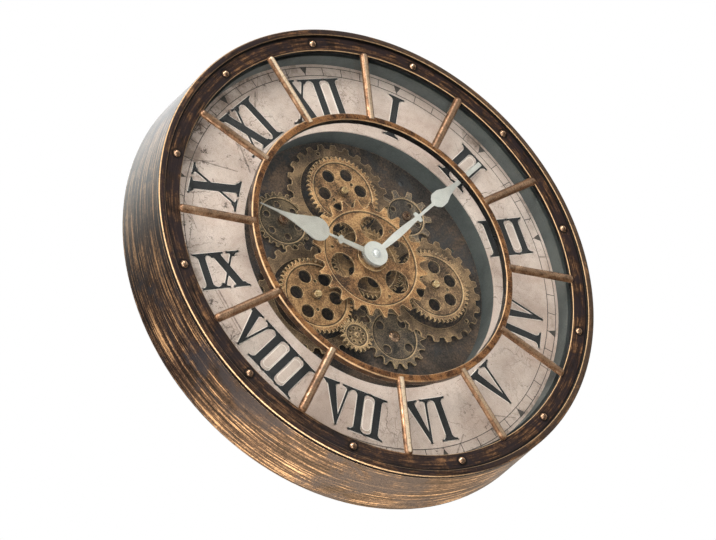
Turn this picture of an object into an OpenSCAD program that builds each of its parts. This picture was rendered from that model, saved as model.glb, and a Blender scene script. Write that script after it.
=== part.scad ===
// Round wall clock with an open gear train behind the dial.
// The wall is the plane Y = 0, the front faces -Y, 12 o'clock is +Z.
// Depths are written as distances in front of the wall, called "out".

/* [Case] */
// Radius of the case at its back edge
case_back_r = 265; // [262:0.5:268]
// Radius of the case behind the front lip
case_front_r = 260.5; // [259:0.5:262]
// Distance of the case's back edge from the wall
case_gap = 2; // [1:0.5:3]
// Front face of the raised outer lip
lip_out = 82.4; // [81:0.1:84]
// Floor of the recessed channel inside the lip
channel_out = 79; // [78:0.1:80]
// Inner radius of the raised lip
lip_inner_r = 253.3; // [250:0.1:255]
// Clear radius of the bezel
bezel_inner_r = 235.7; // [234:0.1:237]
// Pitch radius of the twelve rivets
rivet_circle_r = 244; // [242:0.5:247]

/* [Grille] */
// Outer radius of the grille ring
grille_outer_r = 156.9; // [154:0.1:160]
// Inner radius of the grille ring
grille_inner_r = 148.7; // [145:0.1:151]
// Radius of the half-round bars
bar_r = 4.3; // [3.5:0.1:5]
// Radius at which the outer end of each bar stops
bar_end_r = 238.1; // [237:0.1:241]

/* [Dial] */
// Visible outer radius of the dial
dial_view_r = 233.5; // [232:0.1:235]
// Radius of the opening in the dial
dial_inner_r = 151; // [149:0.1:153]
// Front face of the dial
dial_out = 51.9; // [51:0.1:53]
// Thickness of the dial
dial_t = 2; // [1.5:0.1:3]
// Height of the raised numerals
numeral_t = 0.8; // [0.4:0.1:1.5]
// Width of an I stroke
stroke_w = 7.8; // [6:0.1:9]

/* [Gear train] */
// Module of the fine gears
fine_module = 1.73; // [1.7:0.01:1.76]
// Teeth of the centre gear and of the three satellites
fine_teeth = 48; // [48:48:48]
// Teeth of the drive gear
drive_teeth = 20; // [20:1:21]
// Clock angles of the top, right and left satellites
satellite_angles = [0.6, 115.4, 247.4]; // [0:0.1:360]
// Rear face of the fine gears
fine_out = 36.9; // [36:0.1:38]
// Thickness of the fine gears
fine_t = 3; // [2:0.1:3.5]
// Rear face of the large centre wheel
wheel_out = 46; // [45:0.1:47]
// Thickness of the large centre wheel
wheel_t = 2.6; // [2:0.1:3]
// Side play between meshing teeth
tooth_play = 0.5; // [0.4:0.05:0.6]

/* [Hands] */
// Clock angle of the hour hand
hour_angle = 300.8; // [0:0.1:360]
// Clock angle of the minute hand
minute_angle = 62; // [0:0.1:360]
// Length of the hour hand
hour_length = 137.7; // [130:0.1:142]
// Length of the minute hand
minute_length = 203.7; // [195:0.1:208]
// Radius of the round hub of each hand
hand_hub_r = 14; // [13:0.1:15]

/* [Back] */
// Height of the hanging hole above the axis
hanger_z = 212; // [208:1:216]
// Radius of the hole that the wall screw's head enters
hanger_r = 5.5; // [5:0.1:6]

/* [Hidden] */
$fn = 96;

// Stack of flat parts, each as its distance from the wall
floor_t = 1.5;
bar_out = channel_out - 0.2;
glass_t = 3;
glass_out = 70;
gasket_out = glass_out + glass_t;
spacer_t = 1.5;
flange_t = 1.2;
dial_back = dial_out - dial_t;
plate_out = 25;
plate_t = 1;
plate_front = plate_out + plate_t;
well_out = plate_out - flange_t;
well_wall = 1.2;
ring_out = 29.9;
ring_t = 1.5;
fixed_out = 27.4;
fixed_t = 1.5;
board_out = 3;
board_t = 3;
board_front = board_out + board_t;
board_r = 261;
board_screw_r = 252;
drum_flange_r = 246;
drum_t = 1.2;

// Lettering: stroke widths, serifs and advances
thick_w = 9.6;
hair_w = 2.3;
serif_w = 18.6;
thin_serif_w = 14;
serif_t = 1.3;
bracket = 5;
pitch_i = 20.4;
width_v = 31;
width_x = 33;
// Clock angle, word, height, radius of its middle, and its turn from upright
numerals = [[0, "XII", 53, 188, 0], [29.4, "I", 55, 188, 30], [59.2, "II", 52, 186.5, 60],
    [87.65, "III", 43.6, 183.2, 0], [119.4, "IV", 52, 186, 300], [150, "V", 50, 187, 330],
    [180, "VI", 48, 189, 0], [208, "VII", 48, 187.5, 29], [240, "VIII", 47, 186.5, 60],
    [270.25, "IX", 39.5, 189.3, 0], [300, "X", 55, 188, 300], [330, "XI", 53, 187, 330]];

// Fine gears
tooth_angle = 20;
fine_pitch_r = fine_module * fine_teeth / 2;
drive_pitch_r = fine_module * drive_teeth / 2;
train_r = 2 * fine_pitch_r;
drive_bearing = 146.9;
post_r = 3;
shaft_play = 0.05;
satellites = [for (a = satellite_angles) [train_r * sin(a), train_r * cos(a)]];
drive_dist = fine_pitch_r + drive_pitch_r;
drive_x = satellites[2][0] + drive_dist * sin(drive_bearing);
drive_z = satellites[2][1] + drive_dist * cos(drive_bearing);

// Central stack, radii from the inside out
minute_shaft_r = 1.7;
hour_tube_in = minute_shaft_r + shaft_play;
hour_tube_r = 2.6;
bush_in = hour_tube_r + shaft_play;
bush_r = 4;
bearing_r = 9;
tube_in = bearing_r + shaft_play;
tube_r = 12;
collar_r = 17.3;

// Clock movement
move_w = 56;
move_front = 24;
move_back = 8;
move_wall = 1.6;
motion_module = 0.6;
cannon_teeth = 10;
minute_teeth = 30;
pinion_teeth = 8;
hour_teeth = 32;
motion_dist = motion_module * (cannon_teeth + minute_teeth) / 2;
motion_play = 0.3;
cell_r = 7.1;
cell_len = 50;
cell_z = -19.2;
cell_out = move_front - move_wall - cell_r;

nut_front = 28.2;

// Drive unit
unit_front = well_out;
unit_back = 7.2;
unit_w = 68;
unit_x = drive_x;
unit_top = drive_z + 17;
unit_low = drive_z - 51;
reduction_module = 0.5;
reduction_teeth = 50;
motor_teeth = 10;
drive_shaft_r = 2;
motor_dist = reduction_module * (reduction_teeth + motor_teeth) / 2;
door_t = 1.2;
switch_x = unit_x - 22;
switch_z = unit_top - 6;

// Turned by a clock angle and moved out along that direction
module at(angle, r = 0) {
    rotate([0, angle, 0]) translate([0, 0, r]) children();
}

// A flat shape drawn in X and Z, raised from "out" towards the front
module slab(out, t) {
    translate([0, -out, 0]) rotate([90, 0, 0]) linear_extrude(height = t) children();
}

module disc(out, t, r) {
    translate([0, -out, 0]) rotate([90, 0, 0]) cylinder(h = t, r = r);
}

module ring(out, t, r_out, r_in) {
    difference() {
        disc(out, t, r_out);
        disc(out - 1, t + 2, r_in);
    }
}

// A profile of radius and distance from the wall, turned about the axis
module turned(profile) {
    rotate([90, 0, 0]) rotate_extrude($fn = 180) polygon(profile);
}

// Domed head standing on the level "out"
module dome(out, r, h) {
    ball_r = (r * r + h * h) / (2 * h);
    intersection() {
        translate([0, -out - h + ball_r, 0]) sphere(r = ball_r, $fn = 48);
        disc(out, h + 1, r);
    }
}

// Screw with a domed head on "out" and a shank going back from it
module screw(out, head_r, head_h, shank_r, shank_l) {
    union() {
        dome(out, head_r, head_h);
        disc(out - shank_l, shank_l + 0.2, shank_r);
    }
}

// Gear outlines. Angles are counter-clockwise from +X in the flat drawing.
function involute(a) = tan(a) * 180 / PI - a;
function roll(rb, r) = acos(min(1, rb / r));
function flank(n, rp, play, r) =
    90 / n - play / 4 / rp * 180 / PI + involute(tooth_angle)
    - involute(roll(rp * cos(tooth_angle), r));
function polar(r, a) = [r * cos(a), r * sin(a)];

module toothed(n, profile, phase = 0) {
    polygon([for (i = [0 : n - 1]) let (c = phase + i * 360 / n) each concat(
        [for (p = profile) polar(p[0], c - p[1])],
        [for (k = [len(profile) - 1 : -1 : 0]) polar(profile[k][0], c + profile[k][1])])]);
}

module involute_gear(n, m, play, phase, add = 0.95, ded = 1.2, steps = 3) {
    rp = n * m / 2;
    tip = rp + add * m;
    root = rp - ded * m;
    low = max(root, rp * cos(tooth_angle));
    curve = [for (k = [0 : steps]) let (r = low + (tip - low) * k / steps)
        [r, flank(n, rp, play, r)]];
    foot = root < low - 0.05 ? [[root, flank(n, rp, play, low)]] : [];
    toothed(n, concat(foot, curve), phase);
}

// Phase of gear B, at direction "dir" from gear A, that puts it in mesh
function meshed(na, phase_a, nb, dir) = dir + 180 + (180 - na * (phase_a - dir)) / nb;

function bearing_of(clock_angle) = 90 - clock_angle;
fine_phase = 3.75;
satellite_phases = [for (a = satellite_angles)
    meshed(fine_teeth, fine_phase, fine_teeth, bearing_of(a))];
drive_phase = meshed(fine_teeth, satellite_phases[2], drive_teeth, bearing_of(drive_bearing));

module holes(count, circle_r, r, first) {
    for (i = [0 : count - 1]) rotate(first + i * 360 / count) translate([circle_r, 0])
        circle(r = r, $fn = 48);
}

// Case and front
module case_drum() color("#4a3826") difference() {
    turned([[case_back_r - 3, case_gap], [case_back_r - 0.8, case_gap + 0.6],
        [case_back_r, case_gap + 2.5], [case_front_r, channel_out - floor_t],
        [case_front_r - drum_t, channel_out - floor_t], [case_back_r - drum_t, board_front + flange_t],
        [drum_flange_r, board_front + flange_t], [drum_flange_r, board_front],
        [case_back_r - 1.6, board_front], [case_back_r - 1.6, case_gap + 3],
        [case_back_r - 3, case_gap + 1.5]]);
    for (a = [22.5 : 45 : 359]) at(a, board_screw_r) disc(board_front - 1, 4, 1.25);
}

module front_bezel() color("#5a4028") difference() {
    turned([[bezel_inner_r, gasket_out + 1], [bezel_inner_r + 1.5, gasket_out + 1],
        [bezel_inner_r + 1.5, channel_out - floor_t], [case_front_r, channel_out - floor_t],
        [case_front_r, lip_out - 2], [case_front_r - 0.6, lip_out - 0.8],
        [case_front_r - 2, lip_out], [lip_inner_r + 2, lip_out],
        [lip_inner_r + 0.6, lip_out - 0.8], [lip_inner_r, lip_out - 2], [lip_inner_r, channel_out],
        [bezel_inner_r + 0.8, channel_out], [bezel_inner_r, channel_out - 0.8]]);
    for (a = [0 : 30 : 330]) at(a, rivet_circle_r) disc(channel_out - 4, 6, 2.05);
}

module bezel_rivets() color("#c09060") for (a = [0 : 30 : 330]) at(a, rivet_circle_r) union() {
    dome(channel_out, 4.3, 3);
    disc(glass_out - flange_t - 1, channel_out - glass_out + flange_t + 1.2, 2);
    disc(glass_out - 2 * flange_t, flange_t, 3.4);
}

module grille_ring() color("#7a5533") turned([[grille_inner_r, 73.4], [grille_outer_r, 73.4],
    [grille_outer_r, 81.2], [grille_outer_r - 1.2, 82], [grille_inner_r + 1.2, 82],
    [grille_inner_r, 81.2]]);

// Half-round bar from the ring to the bezel, with a rounded outer end
module grille_bar() {
    round_at = bar_end_r - bar_r;
    difference() {
        union() {
            translate([0, -bar_out, grille_outer_r - 4]) cylinder(h = round_at - grille_outer_r + 4, r = bar_r);
            translate([0, -bar_out, round_at]) sphere(r = bar_r, $fn = 48);
        }
        disc(channel_out - 2 * bar_r, 2 * bar_r, bar_end_r + 5);
        disc(channel_out - 1, 2 * bar_r, grille_outer_r);
    }
}

module grille_bars() color("#8a6238") for (a = [15 : 30 : 345]) at(a) grille_bar();

module glass_gasket() color("#202020") ring(gasket_out, 1, 239.8, bezel_inner_r + 0.1);

module glass_pane() color([0.8, 0.9, 0.9, 0.3]) disc(glass_out, glass_t, 240);

module front_spacer() color("#3c4444") difference() {
    turned([[dial_view_r, dial_out], [dial_view_r + spacer_t, dial_out],
        [dial_view_r + spacer_t, glass_out - flange_t], [249, glass_out - flange_t],
        [249, glass_out], [dial_view_r, glass_out]]);
    for (a = [0 : 30 : 330]) at(a, rivet_circle_r) disc(glass_out - 4, 6, 2.05);
}

module rear_spacer() color("#3c4444") ring(board_front, dial_back - board_front, 236, 234);

// Dial
module dial_ring() color("#cdbcaf") difference() {
    ring(dial_back, dial_t, 237.5, dial_inner_r);
    for (a = [30 : 60 : 330]) at(a, 166) disc(dial_back - 1, 2, 1.25);
}

module raised() {
    slab(dial_out, numeral_t) children();
}

// Stroke between two level cuts: x at the bottom and at the top, and its width
module stroke(x_low, x_high, w, h) {
    raised() polygon([[x_low - w / 2, -h / 2], [x_low + w / 2, -h / 2],
        [x_high + w / 2, h / 2], [x_high - w / 2, h / 2]]);
}

// Thin serif with brackets, on the top (side 1) or the bottom (side -1)
module serif(x, w, stem, h, side) {
    raised() polygon([for (p = [[-w / 2, 0], [w / 2, 0], [w / 2, -serif_t], [stem / 2 + 1.6, -serif_t - 1.4],
        [stem / 2 - 0.3, -bracket], [0.3 - stem / 2, -bracket], [-stem / 2 - 1.6, -serif_t - 1.4],
        [-w / 2, -serif_t]]) [x + p[0], side * (h / 2 + p[1])]]);
}

module glyph_i(x, h) {
    half = stroke_w / 2;
    quarter = [[half, h / 2 - bracket], [half + 1.6, h / 2 - serif_t - 1.4],
        [serif_w / 2, h / 2 - serif_t], [serif_w / 2, h / 2]];
    side = concat(quarter, [for (k = [3 : -1 : 0]) [-quarter[k][0], quarter[k][1]]]);
    raised() polygon(concat([for (p = side) [x + p[0], p[1]]], [for (p = side) [x - p[0], -p[1]]]));
}

module glyph_v(x, h) {
    raised() polygon([[x + 1, -h / 2], [x + 2.4, -h / 2], [x + 12.6, h / 2], [x + 12.6 - hair_w, h / 2],
        [x + 2.7, -h / 2 + 11], [x - 4.8, h / 2], [x - 14.4, h / 2]]);
    serif(x - 9.6, serif_w, thick_w, h, 1);
    serif(x + 11.4, thin_serif_w, hair_w, h, 1);
}

module glyph_x(x, h) {
    stroke(x + 10, x - 10, thick_w, h);
    stroke(x - 10.8, x + 10.8, hair_w, h);
    serif(x - 10.2, serif_w, thick_w, h, 1);
    serif(x + 10.2, serif_w, thick_w, h, -1);
    serif(x + 11.2, thin_serif_w, hair_w, h, 1);
    serif(x - 11.2, thin_serif_w, hair_w, h, -1);
}

function advance(c) = c == "I" ? pitch_i : c == "V" ? width_v : width_x;
function span(word, k) = k == 0 ? 0 : span(word, k - 1) + advance(word[k - 1]);

module numeral(word, h) {
    for (k = [0 : len(word) - 1]) {
        x = span(word, k) + (advance(word[k]) - span(word, len(word))) / 2;
        if (word[k] == "I") glyph_i(x, h);
        if (word[k] == "V") glyph_v(x, h);
        if (word[k] == "X") glyph_x(x, h);
    }
}

module dial_numerals() color("#2e2f31") for (n = numerals)
    translate([n[3] * sin(n[0]), 0, n[3] * cos(n[0])]) rotate([0, n[4], 0]) numeral(n[1], n[2]);

// Gear well and plate
module gear_well() color("#3c4444") difference() {
    turned([[dial_inner_r, plate_out], [dial_inner_r, dial_back], [176, dial_back],
        [176, dial_back - flange_t], [dial_inner_r + well_wall, dial_back - flange_t],
        [dial_inner_r + well_wall, well_out], [124, well_out], [124, plate_out]]);
    for (a = [30 : 60 : 330]) at(a, 166) disc(dial_back - 3, 5, 1.6);
    for (a = [44 : 90 : 314]) at(a, 131) disc(well_out - 1, 4, 1.25);
}

module movement_plate() color("#50412f") difference() {
    slab(plate_out, plate_t) difference() {
        circle(r = dial_inner_r - 0.3);
        circle(r = bush_r + 0.2);
        translate([drive_x, drive_z]) circle(r = 2.5);
        rotate(bearing_of(86)) translate([127, 0]) circle(r = 2.6);
        rotate(bearing_of(266)) translate([127, 0]) circle(r = 2.6);
    }
    for (a = [44 : 90 : 314]) at(a, 131) disc(plate_out - 1, 3, 1.6);
}

module chassis_screws() color("#3a3a3a") {
    for (a = [44 : 90 : 314]) at(a, 131) screw(plate_front, 3.2, 1.4, 1.25, 6);
    for (a = [30 : 60 : 330]) at(a, 166) union() {
        disc(dial_back - flange_t - 1.8, 1.8, 3);
        disc(dial_back - flange_t - 0.2, 1.8, 1.25);
    }
}

// Fixed ornament
ring_tip_r = 62.6;
ring_root_r = 56.9;
ring_inner_r = 46.6;
ring_hole_r = 52.3;
coarse_teeth = 24;

module toothed_ring(k, hole_angle) {
    slab(ring_out, ring_t) translate(satellites[k]) difference() {
        toothed(coarse_teeth, [[ring_root_r, 5.2], [ring_root_r + 1.2, 3.9], [ring_tip_r - 1, 3.1],
            [ring_tip_r, 2.2]], bearing_of(hole_angle) + 7.5);
        circle(r = ring_inner_r);
        for (turn = [0, 180]) rotate(bearing_of(hole_angle) + turn) translate([ring_hole_r, 0])
            circle(r = 2.1, $fn = 32);
    }
}

module toothed_ring_top() color("#7d6140") toothed_ring(0, 351);
module toothed_ring_right() color("#7d6140") toothed_ring(1, 142.5);
module toothed_ring_left() color("#7d6140") difference() {
    toothed_ring(2, 300);
    translate([drive_x, 0, drive_z]) disc(ring_out - 1, 4, drive_shaft_r + 0.8);
}

module ring_standoffs() color("#6e5638") for (k = [0 : 2], turn = [30 : 120 : 270])
    translate([satellites[k][0], 0, satellites[k][1]]) at(turn + satellite_angles[k], ring_hole_r)
        disc(plate_front, ring_out - plate_front, 2.2);

bottom_at = [9.8, -83.4];
left_at = [-78.6, 60.8];
upper_at = [79.4, 53];

// Fixed gear with a raised toothed rim round a thinner web
module rimmed_gear(n, profile, web_r, web_drop, place, phase) {
    translate([place[0], 0, place[1]]) difference() {
        slab(fixed_out, fixed_t) difference() {
            toothed(n, profile, phase);
            children();
        }
        disc(fixed_out + fixed_t - web_drop, web_drop + 1, web_r);
    }
}

module fixed_gear_bottom() color("#7d6140") rimmed_gear(18,
    [[31.2, 8], [32.4, 5.6], [35, 3.6], [37.9, 2]], 26.6, 0.6, bottom_at, -9) {
    circle(r = 3.05);
    holes(4, 19.6, 5.1, 42);
}

module fixed_gear_left() color("#7d6140") rimmed_gear(24,
    [[29.8, 5.2], [31, 4], [33, 3.2], [33.9, 2.2]], 26.6, 0.6, left_at, 0) {
    circle(r = 3.05);
    holes(6, 19, 3.8, 30);
}

module fixed_gear_upper() color("#7d6140") rimmed_gear(10,
    [[24.4, 11.5], [25.8, 8.6], [32, 5.6], [32.7, 4.8]], 22, 0.6, upper_at, 96 - 36) {
    circle(r = 3.05);
    holes(4, 16.5, 3, -40);
}

gear_rivet_r = 3;
module gear_rivets() color("#a5784a") {
    translate([bottom_at[0], 0, bottom_at[1]]) union() {
        disc(plate_front, 4, gear_rivet_r);
        disc(plate_front, fixed_out - plate_front, 6);
        dome(fixed_out + fixed_t, 6.8, 2.6);
    }
    for (p = [left_at, upper_at]) translate([p[0], 0, p[1]]) difference() {
        union() {
            disc(plate_front, 4, gear_rivet_r);
            disc(plate_front, fixed_out - plate_front, 6);
            disc(fixed_out + fixed_t, 3, 5.3);
        }
        disc(plate_front + 1, 10, 2.4);
    }
}

// Bearings of the turning gears
module satellite_posts() color("#8f8468") for (p = satellites) translate([p[0], 0, p[1]])
    difference() {
        union() {
            disc(plate_front, 41.5 - plate_front, post_r);
            disc(plate_front, fine_out - 0.3 - plate_front, 5.5);
        }
        disc(33.5, 9, 1.5);
    }

module axle_washers() color("#4a4030") for (p = satellites) translate([p[0], 0, p[1]])
    ring(fine_out + fine_t + 0.3, 1.3, 5.8, post_r);

module axle_screws() color("#c9a35a") for (p = satellites) translate([p[0], 0, p[1]]) difference() {
    union() {
        disc(33.6, 8.2, 1.5);
        disc(41.5, 3.4, 3.7);
    }
    translate([-4, -46, -0.5]) cube([8, 2, 1]);
}

module hub_bearing() color("#8c8f90") difference() {
    union() {
        disc(nut_front, 35.3 - nut_front, tube_r);
        disc(nut_front, 54.9 - nut_front, bearing_r);
        disc(52.3, 2.6, 13.6);
    }
    disc(nut_front - 1, 30, bush_r);
}

// Turning gears
module centre_wheel() color("#9a7244") difference() {
    slab(wheel_out, wheel_t) difference() {
        toothed(coarse_teeth, [[60, 5.7], [61, 4.7], [64, 3.2], [69.3, 1.4]], bearing_of(6.2));
        circle(r = tube_r);
        holes(6, 37.5, 14, bearing_of(23.5));
        holes(3, 46, 1.7, bearing_of(52));
    }
    disc(wheel_out + wheel_t - 0.8, 2, 55.6);
}

module centre_fine_gear() color("#8a693f") difference() {
    slab(fine_out, fine_t) difference() {
        involute_gear(fine_teeth, fine_module, tooth_play, fine_phase);
        circle(r = tube_r);
        holes(6, 23, 7.5, 30);
    }
    disc(fine_out + fine_t - 0.6, 2, 35.9);
}

module centre_tube() color("#a8763f") difference() {
    union() {
        disc(35.7, 15.9, tube_r);
        disc(35.7, fine_out - 35.7, 16);
        disc(wheel_out + wheel_t, 3, collar_r);
    }
    disc(35, 18, tube_in);
}

module satellite_gear(k) {
    translate([satellites[k][0], 0, satellites[k][1]]) difference() {
        slab(fine_out, fine_t) rotate(satellite_phases[k]) difference() {
            involute_gear(fine_teeth, fine_module, tooth_play, 0);
            circle(r = post_r + shaft_play);
            holes(6, 23, 7.5, 0);
            holes(2, 16.5, 1.9, 30);
        }
        disc(fine_out + fine_t - 0.6, 2, 35.9);
    }
}

module satellite_gear_top() color("#8a693f") satellite_gear(0);
module satellite_gear_right() color("#8a693f") satellite_gear(1);
module satellite_gear_left() color("#8a693f") satellite_gear(2);

module drive_gear() color("#8a693f") translate([drive_x, 0, drive_z]) difference() {
    slab(fine_out, fine_t) rotate(drive_phase) difference() {
        involute_gear(drive_teeth, fine_module, tooth_play, 0);
        circle(r = drive_shaft_r);
        holes(8, 8.4, 1.6, 0);
    }
    disc(fine_out + fine_t - 0.6, 2, 12.4);
}

// Drive unit behind the plate
module drive_shaft() color("#b0b3b5") translate([drive_x, 0, drive_z]) union() {
    disc(8.4, fine_out + fine_t + 1 - 8.4, drive_shaft_r);
    disc(fine_out + fine_t - 0.6, 1.2, 3.4);
}

module reduction_gear() color("#e8e4da") translate([drive_x, 0, drive_z]) slab(11, 3) difference() {
    involute_gear(reduction_teeth, reduction_module, 0.24, 0, 0.8, 1.15, 2);
    circle(r = drive_shaft_r);
}

module motor_pinion() color("#d8d2c0") translate([drive_x + motor_dist, 0, drive_z]) slab(10.6, 3.6)
    difference() {
        involute_gear(motor_teeth, reduction_module, 0.24,
            meshed(reduction_teeth, 0, motor_teeth, 0), 0.8, 1.15, 2);
        circle(r = 0.6, $fn = 24);
    }

module drive_motor() color("#9fa3a6") translate([drive_x + motor_dist, 0, drive_z]) union() {
    disc(14.8, 7.6, 6);
    disc(14.4, 0.5, 2);
    disc(10.2, 4.4, 0.55);
}

module drive_case() color("#1f1f1f") difference() {
    union() {
        translate([unit_x - unit_w / 2, -unit_front, unit_low])
            cube([unit_w, unit_front - unit_back, unit_top - unit_low]);
        for (dx = [-24, 24]) translate([unit_x + dx, 0, unit_top - 6])
            disc(unit_front, plate_out - unit_front, 4);
    }
    // gear and motor chamber
    translate([unit_x - 16, -unit_front + 1.4, drive_z - 14.4]) cube([40, 13.6, 28.8]);
    // battery bay, open to the rear
    translate([unit_x - 26.5, -unit_front + 1.2, unit_low + 2.4]) cube([53, 30, 31]);
    translate([drive_x, 0, drive_z]) disc(unit_back + 1, 30, drive_shaft_r + shaft_play);
    // groove that holds the tongues of the door, open at the bottom
    translate([unit_x - 29, -unit_back - door_t - 0.2, unit_low - 1]) cube([58, 0.8, 35.8]);
    translate([unit_x - 27, -unit_back - 1, unit_low - 1]) cube([54, 2, 35.8]);
    // switch slot and the pocket behind it
    translate([switch_x - 5, -unit_back - 2, switch_z - 2.2]) cube([10, 3, 4.4]);
    translate([switch_x - 7, -unit_back - 3.2, switch_z - 3.7]) cube([14, 2, 7.4]);
}

module drive_cells() color("#c8742a") for (row = [0, 1])
    translate([unit_x - cell_len / 2, -unit_front + 1.2 + cell_r, unit_low + 10.2 + row * 15.2]) rotate([0, 90, 0]) union() {
        cylinder(h = cell_len - 1.2, r = cell_r);
        cylinder(h = cell_len, r = 2.6);
    }

module battery_door() color("#2a2a2a") difference() {
    union() {
        translate([unit_x - 26.8, -unit_back - door_t, unit_low]) cube([53.6, door_t, 34.6]);
        translate([unit_x - 28.8, -unit_back - door_t, unit_low]) cube([57.6, 0.5, 34.6]);
    }
    for (k = [0 : 4]) translate([unit_x - 8, -unit_back - 0.3, unit_low + 4 + k * 2]) cube([16, 1, 0.8]);
}

module power_switch() color("#b02a20") union() {
    translate([switch_x - 4.8, -unit_back - 2, switch_z - 2]) cube([4, 2.8, 4]);
    translate([switch_x - 6.6, -unit_back - 3, switch_z - 3.4]) cube([7.6, 1.6, 6.8]);
}

// Time movement
module move_box(out, t, margin) {
    translate([-move_w / 2 + margin, -out - t, -move_w / 2 + margin])
        cube([move_w - 2 * margin, t, move_w - 2 * margin]);
}

module movement_case() color("#222222") union() {
    difference() {
        move_box(move_back, move_front - move_wall - move_back, 0);
        translate([-move_w / 2 + move_wall, -move_front, -10.5])
            cube([move_w - 2 * move_wall, move_front - move_back - move_wall, 36.9]);
        translate([-26, -move_front, -26.8]) cube([52, 20, 15.2]);
        disc(move_back - 1, 4, minute_shaft_r + shaft_play);
    }
    translate([motion_dist, 0, 0]) disc(move_back, 13.6, 1);
}

module movement_cover() color("#2b2b2b") difference() {
    move_box(move_front - move_wall, move_wall, 0);
    disc(move_front - 3, 6, bush_r);
}

module movement_bush() color("#b8924a") difference() {
    disc(move_front - move_wall, 47 - move_front + move_wall, bush_r);
    disc(20, 30, bush_in);
}

module movement_nut() color("#b0b3b5") difference() {
    slab(plate_front, nut_front - plate_front) circle(r = 7.2, $fn = 6);
    disc(plate_front - 1, 5, bush_r);
}

module movement_washer() color("#181818") ring(move_front, plate_out - move_front, 9, bush_r + 0.1);

module movement_cell() color("#c8742a") translate([-cell_len / 2, -cell_out, cell_z]) rotate([0, 90, 0])
    union() {
        cylinder(h = cell_len - 1.2, r = cell_r);
        cylinder(h = cell_len, r = 2.6);
    }

cannon_phase = 0;
wheel_phase = meshed(cannon_teeth, cannon_phase, minute_teeth, 0);
pinion_phase = 0;
hour_phase = meshed(pinion_teeth, pinion_phase, hour_teeth, 180);

module minute_shaft() color("#c0c2c4") union() {
    disc(4.4, 57.2, minute_shaft_r);
    slab(17.4, 2) involute_gear(cannon_teeth, motion_module, motion_play, cannon_phase, 0.8, 1.15, 2);
}

module minute_wheel() color("#d8d2c0") translate([motion_dist, 0, 0]) difference() {
    union() {
        slab(17.5, 1.8) involute_gear(minute_teeth, motion_module, motion_play, wheel_phase, 0.8, 1.15, 2);
        slab(19.2, 2.3) involute_gear(pinion_teeth, motion_module, motion_play, pinion_phase, 0.8, 1.15, 2);
    }
    disc(16, 8, 1 + shaft_play);
}

module hour_wheel() color("#e2dccb") difference() {
    union() {
        disc(20, 37.4, hour_tube_r);
        slab(20, 1.5) involute_gear(hour_teeth, motion_module, motion_play, hour_phase, 0.8, 1.15, 2);
    }
    disc(19, 40, hour_tube_in);
}

// Hands. Each outline is a list of distance from the axis and half width.
hour_out = 55.8;
minute_out = 58.8;
hand_t = 0.8;
hand_eye_r = 14.2;
hand_eye_at = 69.3;
// Distance from the axis and half width along each hand
hour_outline = concat([[8, 3.4], [38, 2.5], [39.2, 4.8], [41.6, 5.4], [43.4, 3.2], [44.4, 1.5]],
    [for (k = [0 : 12]) let (t = 6 + k * 9.5) [hand_eye_at - hand_eye_r * cos(t), hand_eye_r * sin(t)]],
    [[79.6, 11.1], [86, 8.9], [96, 5.4], [108, 2.6], [116, 1.6], [hour_length, 0.4]]);
minute_outline = [[8, 2.7], [14, 2.8], [26, 3.7], [39, 4.1], [54, 3.7], [68, 2.7], [76.6, 2.3],
    [77.4, 5.6], [79, 6.2], [81.6, 6], [82.8, 1.6], [90, 1.7], [109, 1.9], [111.5, 5.4],
    [116, 8.8], [121, 9.3], [127, 9], [137, 5.3], [151, 2.7], [minute_length, 2.7]];

module hand(out, rows, angle, bore_r) {
    difference() {
        union() {
            at(angle) slab(out, hand_t) polygon(concat([for (p = rows) [-p[1], p[0]]],
                [for (k = [len(rows) - 1 : -1 : 0]) [rows[k][1], rows[k][0]]]));
            disc(out, hand_t, hand_hub_r);
        }
        disc(out - 1, hand_t + 2, bore_r);
    }
}

module hour_hand() color("#c9cbbd") hand(hour_out, hour_outline, hour_angle, hour_tube_r);
module minute_hand() color("#c9cbbd") hand(minute_out, minute_outline, minute_angle, minute_shaft_r);

module minute_nut() color("#b9bcbc") difference() {
    union() {
        disc(minute_out + hand_t, 1.1, 5.2);
        dome(minute_out + hand_t + 1.1, 3.6, 2.2);
    }
    disc(minute_out, 2.8, minute_shaft_r);
}

module setting_knob() color("#222222") difference() {
    slab(4, 3.4) toothed(24, [[7.2, 5], [7.8, 3]]);
    disc(3, 6, minute_shaft_r);
}

// Back
module back_board() color("#5b4632") difference() {
    disc(board_out, board_t, board_r);
    translate([-30, -board_front - 1, -30]) cube([60, board_t + 2, 60]);
    translate([unit_x - 36, -board_front - 1, unit_low - 26]) cube([72, board_t + 2, 96]);
    translate([-10, -board_front - 1, hanger_z - 9]) cube([20, board_t + 2, 30]);
    for (a = [22.5 : 45 : 359]) at(a, board_screw_r) disc(board_out - 1, 5, 1.6);
    for (dx = [-19, 19]) translate([dx, 0, hanger_z + 6]) disc(board_out - 1, 5, 1.25);
}

module board_screws() color("#6a6a6a") {
    for (a = [22.5 : 45 : 359]) at(a, board_screw_r) union() {
        disc(1.6, board_out - 1.6, 3.2);
        disc(board_out - 0.2, 5.4, 1.25);
    }
    for (dx = [-19, 19]) translate([dx, 0, hanger_z + 6]) union() {
        disc(0.6, 1.2, 2.8);
        disc(1.6, 4.2, 1.25);
    }
}

module hanger_plate() color("#a8abad") slab(1.8, 1.2) difference() {
    translate([-25, hanger_z - 11]) square([50, 34]);
    translate([0, hanger_z]) circle(r = hanger_r);
    translate([-3, hanger_z]) square([6, 11]);
    translate([0, hanger_z + 11]) circle(r = 3);
    for (dx = [-19, 19]) translate([dx, hanger_z + 6]) circle(r = 1.6, $fn = 32);
}

module wall_bumpers() color("#1c1c1c") for (a = [45 : 90 : 315]) at(a, 235) disc(0, board_out, 8);

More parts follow.
